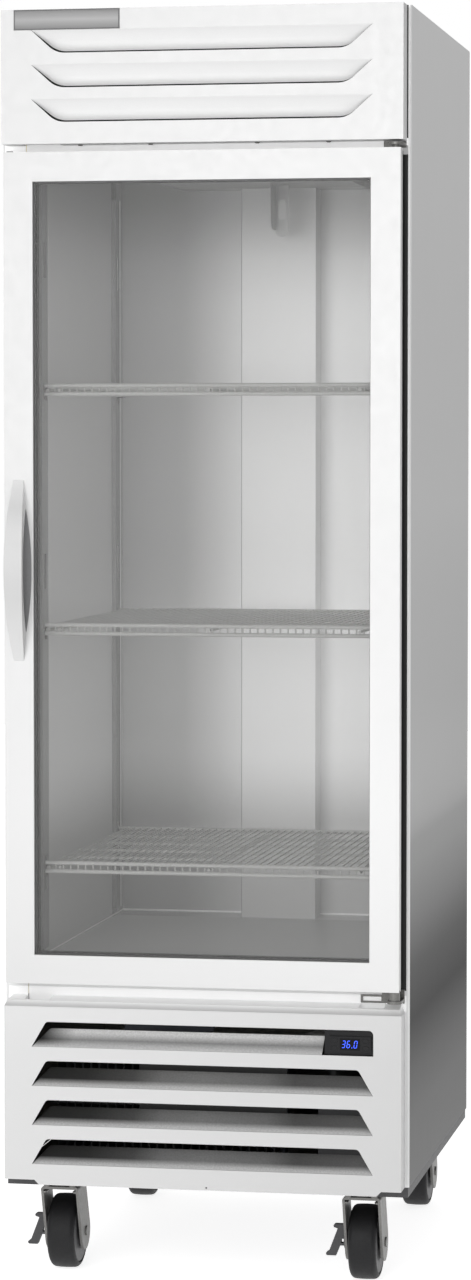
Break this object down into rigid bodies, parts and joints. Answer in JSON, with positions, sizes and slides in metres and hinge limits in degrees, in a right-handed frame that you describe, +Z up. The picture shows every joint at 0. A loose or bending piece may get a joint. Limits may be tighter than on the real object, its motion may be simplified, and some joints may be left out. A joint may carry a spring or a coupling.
{
  "type": "reach-in refrigerator",
  "caption": "Upright reach-in refrigerator with a hinged glass door, bowed handle, wire shelves, louvred hood and grille, and a condensing unit on swivel casters.",
  "frame": {"origin": "on the floor, below the middle of the whole object's box", "axes": "+Z up, front faces -Y, +X is the hinge side of the door (the right as seen from the front)"},
  "size_m": [0.692, 0.8942, 2.14],
  "materials": {
    "side_steel": "satin",
    "rear_steel": "satin",
    "frame_white": "satin",
    "front_white": "satin",
    "door_white": "satin",
    "base_grey": "satin",
    "foam": "matte",
    "liner_metal": "satin",
    "badge": "satin",
    "zinc": "satin",
    "black_plastic": "satin",
    "display": "gloss",
    "key_plastic": "satin",
    "wire_grey": "satin",
    "fin_metal": "satin",
    "motor_black": "satin",
    "lamp_white": "satin",
    "copper": "satin",
    "gasket_rubber": "matte",
    "glass": "gloss",
    "spacer_black": "satin",
    "handle_silver": "satin",
    "pad_grey": "satin",
    "nylon": "satin",
    "slate_plastic": "satin",
    "wheel": "satin"
  },
  "bodies": {
    "cabinet": {"side_panel_left": "side_steel", "side_panel_right": "side_steel", "top_panel": "side_steel", "rear_panel": "rear_steel", "face_frame": "frame_white", "base_frame": "base_grey", "insulation": "foam", "liner": "liner_metal", "hood_panel": "front_white", "badge_plate": "badge", "lower_grille": "front_white", "panel_screws": "zinc", "controller_housing": "black_plastic", "controller_window": "display", "shelf_pilasters": "liner_metal", "shelf_clips": "zinc", "duct_cover": "liner_metal", "evaporator_cover": "liner_metal", "evaporator_coil": "fin_metal", "evaporator_motor": "motor_black", "lamp": "lamp_white", "strap_bracket": "liner_metal", "compressor": "motor_black", "condenser_coil": "fin_metal", "coil_guard": "fin_metal", "fan_shroud": "slate_plastic", "condenser_motor": "motor_black", "drain_pan": "fin_metal", "refrigerant_lines": "copper", "electrical_box": "base_grey", "power_inlet": "black_plastic", "hinge_brackets": "zinc", "caster_plates": "zinc"},
    "door": {"door_frame": "door_white", "door_inner_frame": "black_plastic", "door_gasket": "gasket_rubber", "door_glass": "glass", "glass_spacer": "spacer_black", "door_handle": "handle_silver", "handle_pad": "pad_grey", "hinge_bushes": "nylon"},
    "shelf_low": {"shelf_lower": "wire_grey"},
    "shelf_mid": {"shelf_middle": "wire_grey"},
    "shelf_top": {"shelf_upper": "wire_grey"},
    "evap_fan": {"evaporator_fan": "black_plastic"},
    "cond_fan": {"condenser_fan": "fin_metal"},
    "key_1": {"controller_key_1": "key_plastic"},
    "key_2": {"controller_key_2": "key_plastic"},
    "key_3": {"controller_key_3": "key_plastic"},
    "key_4": {"controller_key_4": "key_plastic"},
    "fork_front_left": {"caster_fork_front_left": "zinc"},
    "wheel_front_left": {"caster_wheel_front_left": "wheel"},
    "fork_front_right": {"caster_fork_front_right": "zinc"},
    "wheel_front_right": {"caster_wheel_front_right": "wheel"},
    "fork_rear_left": {"caster_fork_rear_left": "zinc"},
    "wheel_rear_left": {"caster_wheel_rear_left": "wheel"},
    "fork_rear_right": {"caster_fork_rear_right": "zinc"},
    "wheel_rear_right": {"caster_wheel_rear_right": "wheel"},
    "pedal_left": {"brake_pedal_left": "base_grey"},
    "pedal_right": {"brake_pedal_right": "base_grey"}
  },
  "joints": [
    {"name": "door_hinge", "type": "hinge", "parent": "cabinet", "child": "door", "pos_m": [0.326, -0.391, 1], "axis": [0, 0, 1], "range_deg": [0, 115]},
    {"name": "shelf_low_lift", "type": "slide", "parent": "cabinet", "child": "shelf_low", "axis": [0, 0, 1], "range_m": [0, 0.02]},
    {"name": "shelf_mid_lift", "type": "slide", "parent": "cabinet", "child": "shelf_mid", "axis": [0, 0, 1], "range_m": [0, 0.02]},
    {"name": "shelf_top_lift", "type": "slide", "parent": "cabinet", "child": "shelf_top", "axis": [0, 0, 1], "range_m": [0, 0.02]},
    {"name": "evap_fan_spin", "type": "hinge", "parent": "cabinet", "child": "evap_fan", "pos_m": [0, -0.089, 1.949], "axis": [0, 0, 1], "continuous": true},
    {"name": "cond_fan_spin", "type": "hinge", "parent": "cabinet", "child": "cond_fan", "pos_m": [-0.075, -0.2465, 0.2975], "axis": [0, 1, 0], "continuous": true},
    {"name": "key_1_press", "type": "slide", "parent": "cabinet", "child": "key_1", "axis": [0, 1, 0], "range_m": [0, 0.0008], "stiffness_N_per_m": 200},
    {"name": "key_2_press", "type": "slide", "parent": "cabinet", "child": "key_2", "axis": [0, 1, 0], "range_m": [0, 0.0008], "stiffness_N_per_m": 200},
    {"name": "key_3_press", "type": "slide", "parent": "cabinet", "child": "key_3", "axis": [0, 1, 0], "range_m": [0, 0.0008], "stiffness_N_per_m": 200},
    {"name": "key_4_press", "type": "slide", "parent": "cabinet", "child": "key_4", "axis": [0, 1, 0], "range_m": [0, 0.0008], "stiffness_N_per_m": 200},
    {"name": "swivel_front_left", "type": "hinge", "parent": "cabinet", "child": "fork_front_left", "pos_m": [-0.2606, -0.293, 0.14], "axis": [0, 0, 1], "continuous": true},
    {"name": "roll_front_left", "type": "hinge", "parent": "fork_front_left", "child": "wheel_front_left", "pos_m": [-0.2606, -0.2625, 0.0635], "axis": [1, 0, 0], "continuous": true},
    {"name": "swivel_front_right", "type": "hinge", "parent": "cabinet", "child": "fork_front_right", "pos_m": [0.2606, -0.293, 0.14], "axis": [0, 0, 1], "continuous": true},
    {"name": "roll_front_right", "type": "hinge", "parent": "fork_front_right", "child": "wheel_front_right", "pos_m": [0.2606, -0.2625, 0.0635], "axis": [1, 0, 0], "continuous": true},
    {"name": "swivel_rear_left", "type": "hinge", "parent": "cabinet", "child": "fork_rear_left", "pos_m": [-0.2606, 0.353, 0.14], "axis": [0, 0, 1], "continuous": true},
    {"name": "roll_rear_left", "type": "hinge", "parent": "fork_rear_left", "child": "wheel_rear_left", "pos_m": [-0.2606, 0.3835, 0.0635], "axis": [1, 0, 0], "continuous": true},
    {"name": "swivel_rear_right", "type": "hinge", "parent": "cabinet", "child": "fork_rear_right", "pos_m": [0.2606, 0.353, 0.14], "axis": [0, 0, 1], "continuous": true},
    {"name": "roll_rear_right", "type": "hinge", "parent": "fork_rear_right", "child": "wheel_rear_right", "pos_m": [0.2606, 0.3835, 0.0635], "axis": [1, 0, 0], "continuous": true},
    {"name": "brake_left", "type": "hinge", "parent": "fork_front_left", "child": "pedal_left", "pos_m": [-0.2606, -0.2625, 0.0635], "axis": [1, 0, 0], "range_deg": [0, 12]},
    {"name": "brake_right", "type": "hinge", "parent": "fork_front_right", "child": "pedal_right", "pos_m": [0.2606, -0.2625, 0.0635], "axis": [1, 0, 0], "range_deg": [0, 12]}
  ]
}
